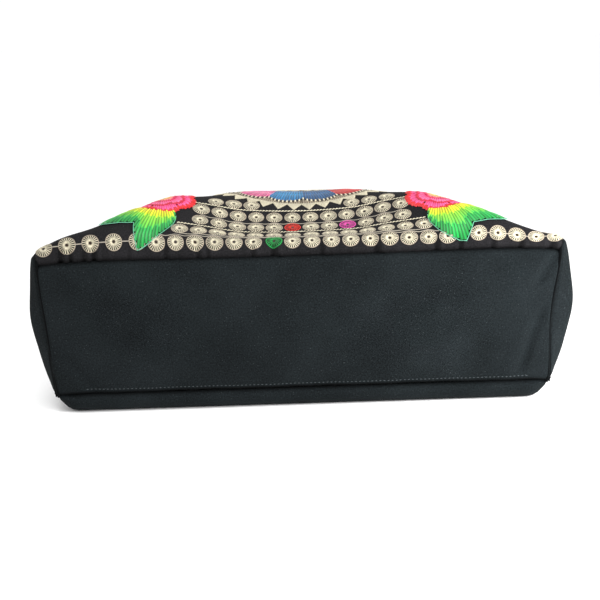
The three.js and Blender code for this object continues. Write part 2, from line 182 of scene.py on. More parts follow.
def piece(name, points, faces, finish, record_slot=None, uv=None, colours=None):
    """A smooth mesh from points in millimetres. uv and colours are given for each point."""
    mesh = bpy.data.meshes.new(name)
    shifted = (np.asarray(points, float) + (0, -PANEL_LENGTH / 2, 0)) * MM
    mesh.from_pydata(shifted.tolist(), [], faces if isinstance(faces, list) else faces.tolist())
    mesh.shade_smooth()
    corners = np.zeros(len(mesh.loops), np.int32)
    mesh.loops.foreach_get("vertex_index", corners)
    if uv is not None:
        layer = mesh.uv_layers.new(name="cloth")
        layer.data.foreach_set("uv", np.asarray(uv, np.float32)[corners].ravel())
    # The colour attribute: a thread's own colour with painted shade along its sides, or painted shade at
    # the seams of a cloth sheet.
    if colours is not None:
        layer = mesh.color_attributes.new("thread", "BYTE_COLOR", "POINT")
        rgba = np.ones((len(points), 4), np.float32)
        rgba[:, :3] = colours
        layer.data.foreach_set("color", rgba.ravel())
    mesh.materials.append(finish)
    made = bpy.data.objects.new(name, mesh)
    bpy.context.scene.collection.objects.link(made)
    if record_slot:
        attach(made, "root")
    return made


FLOOR_HALF = 12000
FLOOR_DROP = 0.2


def paper_paint(w):
    """Matt paper, a little uneven in its white."""
    fibres = w.node("TexNoise", {}, {"Scale": 40.0})
    stops = [(0, (0.96, 0.96, 0.96)), (1, (0.98, 0.98, 0.98))]
    return {"Base Color": w.node("ValToRGB", {"stops": stops}, {0: fibres})}


paper = material("pale_floor", paper_paint, Roughness=0.9)
floor_corners = np.array([(-1, -1, -1), (1, -1, -1), (1, 1, -1), (-1, 1, -1)])
floor = piece("floor", floor_corners * (FLOOR_HALF, FLOOR_HALF, FLOOR_DROP), [(0, 1, 2, 3)], paper)


# The front panel: a warm charcoal cloth, cut 379 mm wide and 320 mm long, stretched over the filled
# bag. It rises from the base seam, sags behind it, and rolls over a crest towards the mouth.
BASE_TOP_WIDTH = 379
HALF_FRONT = BASE_TOP_WIDTH / 2
CORNER_DROP = 4
SEAM_SAG = 1.3
MOUTH_RISE = 70
MOUTH_EDGE_RISE = 60
BELLY = 2
BELLY_AT = 10
WAIST = 5.5
CREST_ANGLE = -12
MOUTH_ANGLE = -6
FALL_FROM = 0.3
FALL_TO = 0.8
STEEPEST_FALL, SHALLOWEST_FALL = -80.0, 30.0
HALVINGS = 26
HEM_DEPTH = 25
CLOTH = 1.6

# Shares of the panel's length, and angles in degrees, at stations from its middle to its side seam.
STATION_COLUMNS = ("across", "lean", "stand", "ledge_at", "ledge", "climb_at", "climb", "crest_at")
STATIONS = [
    (0.00, 58, 0.022, 0.053, -4, 0.181, 30, 0.378),
    (0.20, 58, 0.022, 0.056, -2, 0.178, 30, 0.362),
    (0.37, 56, 0.022, 0.069, 12, 0.163, 28, 0.291),
    (0.48, 58, 0.022, 0.072, 22, 0.150, 30, 0.244),
    (0.60, 66, 0.025, 0.075, 32, 0.119, 24, 0.181),
    (0.77, 78, 0.034, 0.056, 42, 0.072, 18, 0.103),
    (0.87, 78, 0.036, 0.050, 42, 0.059, 14, 0.075),
    (0.95, 78, 0.028, 0.036, 38, 0.044, 12, 0.056),
    (1.00, 76, 0.010, 0.024, 38, 0.034, 8, 0.048),
]
# Where the panel fills out or settles: its place and reach as shares of the half width, and its rise.
SWELLS = [(-0.55, 0.30, 2.2), (0.55, 0.16, -1.2), (0.90, 0.12, -5.5)]
SWELL_FROM = 0.05
ACROSS_STEPS = 200


def smooth_curve(xs, ys, at):
    """The value at each place on a smooth curve through the points, with no overshoot."""
    xs, ys = np.asarray(xs, float), np.asarray(ys, float)
    gap = np.diff(xs)
    slope = np.diff(ys) / gap
    tangent = np.zeros(len(xs))
    tangent[-1] = slope[-1]
    for i in range(1, len(xs) - 1):
        if slope[i - 1] * slope[i] > 0:
            heavy = 2 * gap[i] + gap[i - 1]
            light = gap[i] + 2 * gap[i - 1]
            tangent[i] = (heavy + light) / (heavy / slope[i - 1] + light / slope[i])
    i = np.clip(np.searchsorted(xs, at, "right") - 1, 0, len(xs) - 2)
    t = np.clip((at - xs[i]) / gap[i], 0, 1)
    start = (1 + 2 * t) * (1 - t) ** 2 * ys[i] + t * (1 - t) ** 2 * gap[i] * tangent[i]
    return start + t * t * (3 - 2 * t) * ys[i + 1] + t * t * (t - 1) * gap[i] * tangent[i + 1]


def smooth_step(t):
    t = np.clip(t, 0, 1)
    return t * t * (3 - 2 * t)


def fall_lines():
    """Distances and heights along the front cloth, a row for each place across half of it."""
    across = np.linspace(0, 1, ACROSS_STEPS + 1)
    table = np.array(STATIONS, float)
    at = {
        name: smooth_curve(table[:, 0], table[:, i], across)
        for i, name in enumerate(STATION_COLUMNS) if i
    }
    along = np.arange(PANEL_LENGTH) + 0.5
    foot = SEAM_HEIGHT + SEAM_SAG * across**2 - CORNER_DROP * across**8
    rim = MOUTH_RISE + (MOUTH_EDGE_RISE - MOUTH_RISE) * across**2
    distance = np.zeros((len(across), PANEL_LENGTH + 1))
    height = np.zeros_like(distance)
    for row in range(len(across)):
        crest = at["crest_at"][row]
        places = [
            0, at["stand"][row], at["ledge_at"][row], at["climb_at"][row], crest,
            crest + FALL_FROM * (1 - crest), crest + FALL_TO * (1 - crest), 1,
        ]
        steep, shallow = STEEPEST_FALL, SHALLOWEST_FALL
        for _ in range(HALVINGS):
            fall = (steep + shallow) / 2
            angles = [
                at["lean"][row], at["lean"][row], at["ledge"][row], at["climb"][row], CREST_ANGLE,
                fall, fall, MOUTH_ANGLE,
            ]
            angle = np.radians(np.interp(along / PANEL_LENGTH, places, angles))
            if foot[row] + np.sin(angle).sum() > rim[row]:
                shallow = fall
            else:
                steep = fall
        distance[row, 1:] = np.cumsum(np.cos(angle))
        height[row] = foot[row] + np.concatenate([[0], np.cumsum(np.sin(angle))])
    return distance, height


FALL_DISTANCE, FALL_HEIGHT = fall_lines()


def drawn_in(half, y):
    """The half width of a panel at a distance from the base: a belly, then a waist."""
    belly = BELLY * smooth_step(y / BELLY_AT)
    return half + belly - (WAIST + BELLY) * smooth_step((y - BELLY_AT) / (PANEL_LENGTH / 2 - BELLY_AT))


def front_plain(s, t):
    """The front cloth's surface at s mm across from its middle and t mm from the base seam."""
    u = np.clip(s / HALF_FRONT, -1, 1)
    column = np.abs(u) * ACROSS_STEPS
    row = np.clip(t, 0, PANEL_LENGTH)
    i = np.minimum(column.astype(int), ACROSS_STEPS - 1)
    j = np.minimum(row.astype(int), PANEL_LENGTH - 1)
    di, dj = column - i, row - j

    def between(grid):
        near = grid[i, j] * (1 - dj) + grid[i, j + 1] * dj
        far = grid[i + 1, j] * (1 - dj) + grid[i + 1, j + 1] * dj
        return near * (1 - di) + far * di

    y, z = between(FALL_DISTANCE), between(FALL_HEIGHT)
    share = row / PANEL_LENGTH
    swell = sum(rise * np.exp(-(((u - place) / reach) ** 2)) for place, reach, rise in SWELLS)
    z = z + swell * smooth_step(share / SWELL_FROM) * (1 - share) * (1 - u**20)
    return np.stack([u * drawn_in(HALF_FRONT, y), y, z], -1)


def normals_of(surface, a, b, reach_a, reach_b, sign):
    """Unit normals by small differences, kept inside the sheet's limits."""
    step = 0.6
    across = surface(np.minimum(a + step, reach_a[1]), b) - surface(np.maximum(a - step, reach_a[0]), b)
    along = surface(a, np.minimum(b + step, reach_b[1])) - surface(a, np.maximum(b - step, reach_b[0]))
    normal = np.cross(across, along) * sign
    return normal / np.maximum(np.linalg.norm(normal, axis=-1, keepdims=True), 1e-9)


SEAM_TUCK = 1.9
SEAM_ROLL = 2.1
# Puckers where the front cloth is gathered into the base seam: places across, widths and depths.
PUCKERS = [
    (-170, 2.0, 3.0), (-163, 1.3, 2.0), (-153, 1.6, 1.6), (-146, 1.6, 2.2), (-121, 1.3, 0.9),
    (-95, 1.5, 1.8), (-72, 1.4, 1.6), (-65, 1.2, 1.2), (-33, 1.3, 1.3), (-18, 1.8, 2.4),
    (16, 1.5, 1.6), (55, 2.0, 2.6), (98, 1.7, 2.4), (115, 1.5, 2.0), (138, 1.6, 1.6),
    (158, 1.6, 1.8), (180, 2.2, 2.2),
]
FURROW, BANK, BANK_AT = 1.2, 0.7, 2.4
GATHERS_AT, GATHERS_REACH = 1.5, 8.0
RIPPLE_HEIGHT, FINE_RIPPLE_HEIGHT = 0.25, 0.16
SLACK_HEIGHT, SLACK_FROM = 0.35, 40


def seam_tuck(*distances):
    """How far the cloth turns in at its seams, whose distances are given."""
    return -SEAM_TUCK * np.minimum(1, sum(np.exp(-((d / SEAM_ROLL) ** 2)) for d in distances))


def front_relief(s, t):
    """Small ups and downs of the front cloth: it turns into its seams and puckers beside them."""
    tuck = seam_tuck(t, HALF_FRONT - np.abs(s))
    fade = np.exp(-((t - GATHERS_AT) / GATHERS_REACH) ** 2)
    pucker = 0
    for place, width, depth in PUCKERS:
        bank = BANK * np.exp(-((s - place - BANK_AT * width) / width) ** 2)
        pucker = pucker + depth * (bank - FURROW * np.exp(-((s - place) / width) ** 2))
    ripple = RIPPLE_HEIGHT * np.sin(s * 0.31 + 1.7 * np.sin(s * 0.05))
    ripple = ripple + FINE_RIPPLE_HEIGHT * np.sin(s * 0.83 + 0.4)
    slack = SLACK_HEIGHT * np.sin(s * 0.052 + 0.8) * np.sin(t * 0.045 + 0.6) * smooth_step(t / SLACK_FROM)
    return tuck + fade * (pucker + ripple) + slack


def raised(plain, relief, reach_a, reach_b, sign):
    """The function that gives points at a height above a panel, with its seams and folds."""
    def surface(a, b, lift=0.0):
        a, b = np.asarray(a, float), np.asarray(b, float)
        rise = relief(a, b) + lift
        normal = normals_of(plain, a, b, reach_a, reach_b, sign)
        return plain(a, b) + normal * np.asarray(rise)[..., None]
    return surface


on_front = raised(front_plain, front_relief, (-HALF_FRONT, HALF_FRONT), (0, PANEL_LENGTH), 1)


def spaced(length, count, crowd, edge):
    """Places from 0 to length, with extra ones near both ends for a seam's roll."""
    inner = np.linspace(edge, length - edge, count)
    near = np.linspace(0, 1, crowd, endpoint=False) ** 1.4 * edge
    return np.concatenate([near, inner, length - near[::-1]])


# Painted shade in the cloth's colour near the edges of each sheet: its strength and its reach.
SEAM_SHADE = 0.8
SEAM_SHADE_REACH = 1.7


def grid_piece(name, surface, columns, rows, flip, finish, record_slot):
    """A cloth sheet over a grid of its own coordinates, given its thickness on the inside.

    The colour attribute holds painted shade: the cloth is darker near every edge of the sheet, where it
    turns into its seams.
    """
    across, along = np.meshgrid(columns, rows, indexing="ij")
    points = surface(across, along).reshape(-1, 3)
    count = len(rows)
    corner = (np.arange(len(columns) - 1)[:, None] * count + np.arange(count - 1)).ravel()
    faces = np.stack([corner, corner + count, corner + count + 1, corner + 1], -1)
    if flip:
        faces = faces[:, ::-1]
    uv = np.stack([across.ravel(), along.ravel()], -1)
    to_side = np.minimum(across - columns[0], columns[-1] - across)
    to_end = np.minimum(along - rows[0], rows[-1] - along)
    edge = np.minimum(to_side, to_end).reshape(-1, 1)
    # Painted shade, darkest at the sheet's edges.
    seam_shade = 1 - SEAM_SHADE * np.exp(-((edge / SEAM_SHADE_REACH) ** 2))
    made = piece(name, points, faces, finish, record_slot, uv, np.repeat(seam_shade, 3, 1))
    solid = made.modifiers.new("thickness", "SOLIDIFY")
    solid.thickness = CLOTH * MM
    solid.offset = -1
    return made


def srgb(code):
    """A colour written as a hexadecimal number, such as 0xffcc00, in linear light."""
    parts = [(code >> shift & 255) / 255 for shift in (16, 8, 0)]
    return tuple(p / 12.92 if p <= 0.04045 else ((p + 0.055) / 1.055) ** 2.4 for p in parts)


def canvas_paint(dark, light, speck, twill, speck_amount):
    """Woven cloth: a twill in the bump, and soft blotches, pale flecks of lint and painted shade at the
    seams in its colour.
    """
    def paint(w):
        cloth = w.node("UVMap", {"uv_map": "cloth"})
        u, v, _ = w.node("SeparateXYZ", {}, {0: cloth}).parts()
        weave = ((u + v) * (2 * math.pi / twill)).sine() * 0.5 + (u * (2 * math.pi / twill)).sine() * 0.25
        blotch = w.node("TexNoise", {}, {"Vector": cloth, "Scale": 0.02, "Detail": 3.0})
        grain = w.node("TexNoise", {}, {"Vector": cloth, "Scale": 0.9, "Detail": 3.0})
        fleck = w.node("TexNoise", {}, {"Vector": cloth, "Scale": 1.25, "Detail": 1.0})
        shade = blotch * 0.35 + grain * 0.65 + weave * 0.10
        ground = w.node("ValToRGB", {"stops": [(0.34, dark), (0.66, light)]}, {0: shade})
        colour = (fleck.over(0.715, 0.05) * speck_amount).mix(ground, (*speck, 1))
        # Painted shade at the seams, from the colour attribute, darkens the cloth's colour.
        seams = w.node("VertexColor", {"layer_name": "thread"})
        colour = w.node("VectorMath", {"operation": "MULTIPLY"}, {0: colour, 1: seams})
        height = weave * 0.5 + grain * 0.9
        bump = w.node("Bump", {}, {"Strength": 0.5, "Distance": 0.0004, "Height": height})
        return {"Base Color": colour, "Normal": bump}
    return paint


front_finish = material(
    "charcoal_cloth",
    canvas_paint(srgb(0x0d0d0e), srgb(0x201f21), srgb(0x5c585a), 0.8, 0.4),
    Roughness=0.85,
    Specular_IOR_Level=0.12,
)
EDGE_ROWS, EDGE_REACH = 6, 5
front_columns = spaced(BASE_TOP_WIDTH, 400, EDGE_ROWS, EDGE_REACH) - HALF_FRONT
front_rows = np.concatenate([[0, 0.6, 1.3, 2.1, 3.0], PANEL_LENGTH * np.linspace(0.115, 1, 95) ** 2])
front_cloth = grid_piece(
    "front_cloth", on_front, front_columns, front_rows, False, front_finish, "embroidered_cloth"
)
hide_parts("front_panel")


# The base panel: dark slate canvas, 379 mm along its seam to the front and 362 mm along its seam to
# the back. It faces the viewer, a little crowned, with soft dents where its corners are pulled.
BASE_BOTTOM_WIDTH = 362
BASE_DEPTH = 99
ROLL_HEIGHT = 14.5
ROLL_RADIUS = 9
BACK_EDGE_RISE = 15
MOUTH_BACK_RISE = 5
BACK_FLAT_TO = 0.9
EDGE_SETTLE = 2
EDGE_LENGTH = 0.985
EDGE_CURL = 2.5
BASE_CROWN = 3
END_PINCH = {-1: 0, 1: 3}
HALF_BACK = BASE_BOTTOM_WIDTH / 2
DENTS = [
    {"across": 0.90, "up": 0.78, "reach_across": 0.035, "reach_up": 0.22, "depth": 2.2},
    {"across": 0.87, "up": 0.22, "reach_across": 0.045, "reach_up": 0.24, "depth": 2.6},
    {"across": -0.80, "up": 0.12, "reach_across": 0.07, "reach_up": 0.20, "depth": 1.6},
]


def back_plain(s, t):
    """The back cloth's surface: it turns under from the base seam and lies flat to the mouth."""
    u = np.clip(s / HALF_BACK, -1, 1)
    drop = ROLL_HEIGHT - ROLL_RADIUS
    turn = np.clip((t - drop) / ROLL_RADIUS, 0, math.pi / 2)
    flat = np.maximum(0, t - drop - math.pi / 2 * ROLL_RADIUS)
    middle_y = ROLL_RADIUS * (1 - np.cos(turn)) + flat
    middle_z = ROLL_HEIGHT - np.minimum(t, drop) - ROLL_RADIUS * np.sin(turn)
    share = t / PANEL_LENGTH
    edge_rise = BACK_EDGE_RISE + (MOUTH_BACK_RISE - BACK_EDGE_RISE) * smooth_step((share - 0.5) * 2)
    edge_z = ROLL_HEIGHT - EDGE_SETTLE + (edge_rise - ROLL_HEIGHT + EDGE_SETTLE) * smooth_step(share * 8)
    edge = np.clip((np.abs(u) - BACK_FLAT_TO) / (1 - BACK_FLAT_TO), 0, 1) ** EDGE_CURL
    y = middle_y + (t * EDGE_LENGTH - middle_y) * edge
    z = middle_z + (edge_z - middle_z) * edge
    return np.stack([u * drawn_in(HALF_BACK, y), y, z], -1)


def base_plain(s, down):
    """The base cloth's surface; s runs across and down from the front seam to the back seam."""
    u = s / HALF_FRONT
    share = down / BASE_DEPTH
    top = front_plain(u * HALF_FRONT, np.zeros_like(share))
    bottom = back_plain(u * HALF_BACK, np.zeros_like(share))
    point = top + (bottom - top) * share[..., None]
    pinch = np.where(u < 0, END_PINCH[-1], END_PINCH[1])
    crown = (1 - u**4) * (1 - (2 * share - 1) ** 4)
    push = BASE_CROWN * crown
    for dent in DENTS:
        far = ((u - dent["across"]) / dent["reach_across"]) ** 2
        far = far + ((1 - share - dent["up"]) / dent["reach_up"]) ** 2
        push = push - dent["depth"] * np.exp(-far) * crown
    point[..., 0] -= np.sign(u) * pinch * np.sin(math.pi * share) ** 2 * u**4
    point[..., 1] -= push
    return point


# Soft creases at both ends: their upper and lower ends (across, down), widths and depths.
CREASES = [
    ((184, 4), (174, 26), 3.2, 2.6), ((180, 46), (166, 92), 3.6, 3.0), ((-176, 70), (-160, 96), 5.0, 1.6),
]
CREASE_BANK, CREASE_BANK_AT, CREASE_BANK_WIDTH = 0.35, 2.5, 1.6
WAVE_HEIGHT, FINE_WAVE_HEIGHT = 0.3, 0.16


def base_relief(s, down):
    """Small ups and downs of the base cloth: its seams, its waves, and its creases with their banks."""
    waves = WAVE_HEIGHT * np.sin(s * 0.07 + 1) * np.sin(down * 0.11)
    waves = waves + FINE_WAVE_HEIGHT * np.sin(s * 0.21 + down * 0.13)
    creased = 0
    for (s0, d0), (s1, d1), width, depth in CREASES:
        share = (down - d0) / (d1 - d0)
        line = s0 + (s1 - s0) * share
        ends = smooth_step(share * 3 + 0.5) * smooth_step((1 - share) * 3 + 0.5)
        creased = creased - depth * ends * np.exp(-(((s - line) / width) ** 2))
        beside = (s - line + CREASE_BANK_AT * width) / (CREASE_BANK_WIDTH * width)
        creased = creased + depth * CREASE_BANK * ends * np.exp(-(beside**2))
    return seam_tuck(down, BASE_DEPTH - down, HALF_FRONT - np.abs(s)) + waves + creased


on_base = raised(base_plain, base_relief, (-HALF_FRONT, HALF_FRONT), (0, BASE_DEPTH), -1)
canvas_finish = material(
    "slate_canvas",
    canvas_paint(srgb(0x080b0c), srgb(0x1c2123), srgb(0x5c6264), 0.7, 0.5),
    Roughness=0.9,
    Specular_IOR_Level=0.08,
)
base_columns = spaced(BASE_TOP_WIDTH, 150, EDGE_ROWS, EDGE_REACH) - HALF_FRONT
base_rows = spaced(BASE_DEPTH, 50, EDGE_ROWS, EDGE_REACH)
base_cloth = grid_piece("base_cloth", on_base, base_columns, base_rows, True, canvas_finish, "canvas")
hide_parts("base_panel")


# The back panel: the same canvas, cut 362 mm wide and 320 mm long. It turns under from the base seam
# and lies flat, its side seams a little off the ground and its corners tucked behind the base.
CORNER_TUCK = 2.6
CORNER_FROM = 0.86
CORNER_BLEND = 0.1


def back_relief(s, t):
    return seam_tuck(t, HALF_BACK - np.abs(s))


above_back = raised(back_plain, back_relief, (-HALF_BACK, HALF_BACK), (0, PANEL_LENGTH), -1)


def on_back(s, t, lift=0.0):
    """Points at a height above the back cloth, with its corners tucked in."""
    point = above_back(s, t, lift)
    corner = smooth_step((np.abs(s) / HALF_BACK - CORNER_FROM) / CORNER_BLEND)
    point[..., 1] += CORNER_TUCK * np.exp(-((t / SEAM_ROLL) ** 2)) * corner
    return point


back_columns = spaced(BASE_BOTTOM_WIDTH, 90, EDGE_ROWS, EDGE_REACH) - HALF_BACK
back_rows = np.concatenate([np.linspace(0, 26, 26), np.linspace(28, PANEL_LENGTH, 70)])
back_cloth = grid_piece("back_cloth", on_back, back_columns, back_rows, True, canvas_finish, "canvas")
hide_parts("back_panel")


# The side gussets: canvas strips 98 mm wide. They bulge beside the base, and towards the mouth they
# fold inwards between the front and the back.
GUSSET_WIDTH = 98
SIDE_BULGE = {-1: 9, 1: 11}
BULGE_BY = 14
SIDE_WAVE_HEIGHT, SIDE_WAVE_FROM = 0.5, 20
FOLD_FROM, FOLD_OVER = 40, 120
FLANGE = 0.1
FOLD_SHARE = 0.93


def gusset_surface(side):
    """The function that gives points on one gusset, down from the front seam and t from the base."""
    def plain(down, t):
        share = down / GUSSET_WIDTH
        top = front_plain(np.full_like(share, side * HALF_FRONT), t)
        bottom = back_plain(np.full_like(share, side * HALF_BACK), t)
        point = top + (bottom - top) * share[..., None]
        gap = np.linalg.norm(top - bottom, axis=-1)
        slack = np.sqrt(np.maximum(0, (GUSSET_WIDTH / 2) ** 2 - (gap / 2) ** 2))
        folding = smooth_step((t - FOLD_FROM) / FOLD_OVER)
        bulge = SIDE_BULGE[side] * smooth_step(t / BULGE_BY) * (1 - folding)
        crease = np.sin(math.pi * np.clip((share - FLANGE) / (1 - 2 * FLANGE), 0, 1)) ** 2
        out = bulge * np.sin(math.pi * share) - FOLD_SHARE * slack * folding * crease
        out -= END_PINCH[side] * np.sin(math.pi * share) ** 2 * (1 - smooth_step(t / BULGE_BY))
        point[..., 0] += side * out
        return point

    def relief(down, t):
        waves = SIDE_WAVE_HEIGHT * np.sin(down * 0.16 + t * 0.05) * smooth_step(t / SIDE_WAVE_FROM)
        return seam_tuck(t, down, GUSSET_WIDTH - down) + waves
    return raised(plain, relief, (0, GUSSET_WIDTH), (0, PANEL_LENGTH), side)


gusset_columns = spaced(GUSSET_WIDTH, 36, EDGE_ROWS, EDGE_REACH)
for side, name in ((-1, "left"), (1, "right")):
    gusset = grid_piece(
        f"side_gusset_cloth_{name}", gusset_surface(side), gusset_columns, back_rows, side < 0,
        canvas_finish, "canvas",
    )
    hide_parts(f"side_gusset_{name}")


# The coins: embroidered rounds about 12 mm across, each of radial cream stitches round a dark eyelet,
# with a thin rim. They border the panel, and three rows of them cross it above each end border. Like
# all the flowers and lines, they are satin stitches of silk thread, sewn close enough to hide the cloth.
CREAM = srgb(0xddd4b8)
EYELET = srgb(0x2b1d10)
RIM_THREAD = srgb(0x9d917f)
COIN_RADIUS = 5.6
RIM_WIDTH, RIM_LIFT = 0.66, 0.42
EYE_RADIUS, EYE_LIFT = 1.05, 0.36
COIN_SPOKES = 21
COIN_BORDER = 12
COIN_GAP = 6
ROW_PITCH = 13.5
ROWS_FROM_SEAM = (25.5, 41.5, 55.5)
FIRST_COLUMN = -3.7
SIDE_BORDER = 180
SIDE_PITCH = 16.44
SIDE_COINS = 18
# Along each spoke: places as shares of the coin's radius, lifts and widths in mm, and painted light and
# shade, lighter and darker along the spoke as a raised coin is lit.
SPOKE_PLACES = np.array([0.17, 0.34, 0.56, 0.78, 0.98])
SPOKE_LIFTS = np.array([0.15, 0.75, 0.85, 0.60, 0.20])
SPOKE_WIDTHS = np.array([0.42, 0.74, 0.84, 0.76, 0.80])
SPOKE_PAINTED_SHADING = np.array([0.62, 1.12, 0.66, 0.88, 1.05])
rng = np.random.default_rng(7)


def thread_paint(w):
    """Thread in its colour with the painted shade of the colour attribute, and fine strands that darken
    and roughen it.
    """
    colour = w.node("VertexColor", {"layer_name": "thread"})
    cloth = w.node("UVMap", {"uv_map": "cloth"})
    strands = w.node("TexNoise", {}, {"Vector": cloth, "Scale": 1.7, "Detail": 2.0})
    shaded = w.node("VectorMath", {"operation": "SCALE"}, {0: colour, "Scale": strands * 0.6 + 0.6})
    bump = w.node("Bump", {}, {"Strength": 0.35, "Distance": 0.0003, "Height": strands})
    return {"Base Color": shaded, "Normal": bump}


silk = material("silk_thread", thread_paint, Roughness=0.4, Specular_IOR_Level=0.35)


class Stitching:
    """Threads gathered for one piece: each is a low ridge on the cloth that dips at both ends."""

    def __init__(self, surface=on_front, flip=False):
        self.points, self.faces, self.places, self.colours = [], [], [], []
        self.count = 0
        self.surface = surface
        self.flip = flip

    def ridges(self, s, t, width, lift, colour, shade=0.10, crown=0.3, side_shade=0.5):
        """Threads, with painted shade along their sides where they meet. s and t hold a path of points on
        the cloth for each.
        """
        s, t = np.broadcast_arrays(np.asarray(s, float), np.asarray(t, float))
        threads, steps = s.shape
        width = np.broadcast_to(np.asarray(width, float), s.shape)
        lift = np.broadcast_to(np.asarray(lift, float), s.shape)
        ds, dt = np.gradient(s, axis=1), np.gradient(t, axis=1)
        size = np.maximum(np.hypot(ds, dt), 1e-6)
        side_s, side_t = -dt / size * width / 2, ds / size * width / 2
        rows_s = np.stack([s - side_s, s, s + side_s], 2)
        rows_t = np.stack([t - side_t, t, t + side_t], 2)
        rise = np.stack([lift - crown, lift, lift - crown], 2)
        points = self.surface(rows_s, rows_t, rise).reshape(-1, 3)
        tint = np.asarray(colour, float)
        tint = np.broadcast_to(tint if tint.ndim == 3 else tint.reshape(-1, 1, 3), (threads, steps, 3))
        tint = tint * (1 + rng.uniform(-shade, shade, (threads, 1, 1)))
        first = (np.arange(threads) * steps)[:, None, None] + np.arange(steps - 1)[:, None]
        corner = (first * 3 + np.arange(2)).ravel() + self.count
        self.faces.append(np.stack([corner, corner + 3, corner + 4, corner + 1], -1))
        self.points.append(points)
        self.places.append(np.stack([rows_s.ravel(), rows_t.ravel()], -1))
        # Painted shade: each thread's sides are darker than its crest, by side_shade.
        across = np.array([side_shade, 1.0, side_shade])[:, None]
        self.colours.append((tint[:, :, None, :] * across).reshape(-1, 3))
        self.count += len(points)

    def made(self, name, record_slot="embroidered_cloth"):
        faces = np.concatenate(self.faces)
        faces = faces[:, ::-1] if self.flip else faces
        places = np.concatenate(self.places)
        colours = np.clip(np.concatenate(self.colours), 0, 1)
        result = piece(name, np.concatenate(self.points), faces, silk, record_slot, places, colours)
        low, size = places.min(0), np.maximum(np.ptp(places, axis=0), 1)
        in_square = ((places - low) / size * 0.98 + 0.01).astype(np.float32)
        corners = np.zeros(len(result.data.loops), np.int32)
        result.data.loops.foreach_get("vertex_index", corners)
        atlas = result.data.uv_layers.new(name="OFBake")
        atlas.data.foreach_set("uv", in_square[corners].ravel())
        return result


def coins(stitching, rims, middles, colour, rim_colour):
    """Coins at (s, t) places: spokes into one piece's stitches, and rims and eyes into another's."""
    middles = np.asarray(middles, float).reshape(-1, 2)
    turn = np.arange(COIN_SPOKES) / COIN_SPOKES * 2 * math.pi
    size = COIN_RADIUS * (1 + rng.uniform(-0.05, 0.05, len(middles)))
    for (s, t), radius in zip(middles, size):
        angle = (turn + rng.uniform(0, 1))[:, None]
        reach = radius * SPOKE_PLACES * (1 + rng.uniform(-0.035, 0.035, (COIN_SPOKES, 1)))
        # Cream spokes with painted light and shade along them, and painted shade at their sides.
        stitching.ridges(
            s + np.cos(angle) * reach, t + np.sin(angle) * reach, SPOKE_WIDTHS, SPOKE_LIFTS,
            np.outer(SPOKE_PAINTED_SHADING, colour)[None], 0.2, side_shade=0.24,
        )
        ring = np.linspace(0, 2 * math.pi, 25)[None, :]
        rims.ridges(
            s + np.cos(ring) * radius * 1.04, t + np.sin(ring) * radius * 1.04,
            RIM_WIDTH, RIM_LIFT, [rim_colour], 0.06, side_shade=0.7,
        )
        rims.ridges(
            s + np.cos(ring) * EYE_RADIUS * 0.5, t + np.sin(ring) * EYE_RADIUS * 0.5,
            EYE_RADIUS, EYE_LIFT, [EYELET], 0.0, 0.05,
        )


def in_row(start, pitch, count, t):
    return [(start + i * pitch, t) for i in range(count)]


def from_end(t, flip_t):
    """A distance from the base seam, or the same distance from the mouth."""
    return PANEL_LENGTH - t if flip_t else t


def mirrored(places):
    return [(s, from_end(t, True)) for s, t in places]


GREEN_COIN, RED_COIN, PINK_COIN = (-17.1, COIN_BORDER), (FIRST_COLUMN, 41.5), (36.8, 41.5)
border_row = in_row(-181, 16.7, 5, COIN_BORDER) + in_row(-100.8, 13.83, 16, COIN_BORDER - 0.8)
border_row += in_row(128.5, 13.6, 5, COIN_BORDER)
border_row = [(s, t) for s, t in border_row if abs(s - GREEN_COIN[0]) > COIN_GAP]
band_rows = in_row(FIRST_COLUMN - 6 * ROW_PITCH, ROW_PITCH, 14, ROWS_FROM_SEAM[0])
for t in ROWS_FROM_SEAM[1:]:
    band_rows += in_row(FIRST_COLUMN - 5 * ROW_PITCH, ROW_PITCH, 12, t)
band_rows += [(3.5 + side * reach, 70.5) for side in (-1, 1) for reach in (38, 51.5, 65)]
for a, b in (RED_COIN, PINK_COIN):
    band_rows = [(s, t) for s, t in band_rows if math.hypot(s - a, t - b) > COIN_GAP]
side_coins = [COIN_BORDER + i * SIDE_PITCH for i in range(SIDE_COINS + 1)]
side_rows = [(side * SIDE_BORDER, t) for side in (-1, 1) for t in side_coins[1:-1]]

coin_stitches, coin_rims, bright_stitches = Stitching(), Stitching(), Stitching()
cream_coins = border_row + band_rows
coins(coin_stitches, coin_rims, cream_coins + mirrored(cream_coins) + side_rows, CREAM, RIM_THREAD)
for place, code in ((GREEN_COIN, 0x128a3c), (RED_COIN, 0xcc2a1a), (PINK_COIN, 0xcf4a9c)):
    coins(bright_stitches, coin_rims, [place, mirrored([place])[0]], srgb(code), srgb(code))
coin_piece = coin_stitches.made("coin_stitches")
bright_coin_piece = bright_stitches.made("coloured_coin_stitches")
rim_piece = coin_rims.made("coin_rims")


# Couched lines: pairs of cream threads twisted into a beaded cord, which divide the rows of coins,
# and single threads that swing from coin to coin.
SILVER = srgb(0xa39b8c)
BEAD_LENGTH = 2.4
BEAD_WIDTH = 1.35
SWAG_WIDTH, SWAG_LIFT = 0.7, 0.55
LINE_WIDTH, LINE_LIFT = 0.75, 0.5
NEXT_COIN = 20
BORDER_MIDDLE = (-105, 110)
lines = Stitching()


def beaded(s0, s1, t):
    """A cord of slanting beads from s0 to s1."""
    middle = np.arange(min(s0, s1), max(s0, s1), BEAD_LENGTH)[:, None]
    along = np.array([-0.48, 0, 0.48]) * BEAD_LENGTH
    lines.ridges(
        middle + along, t + np.array([-0.38, 0, 0.38]), BEAD_WIDTH * np.array([0.4, 1, 0.4]),
        np.array([0.25, 0.75, 0.25]), [CREAM], 0.14,
    )


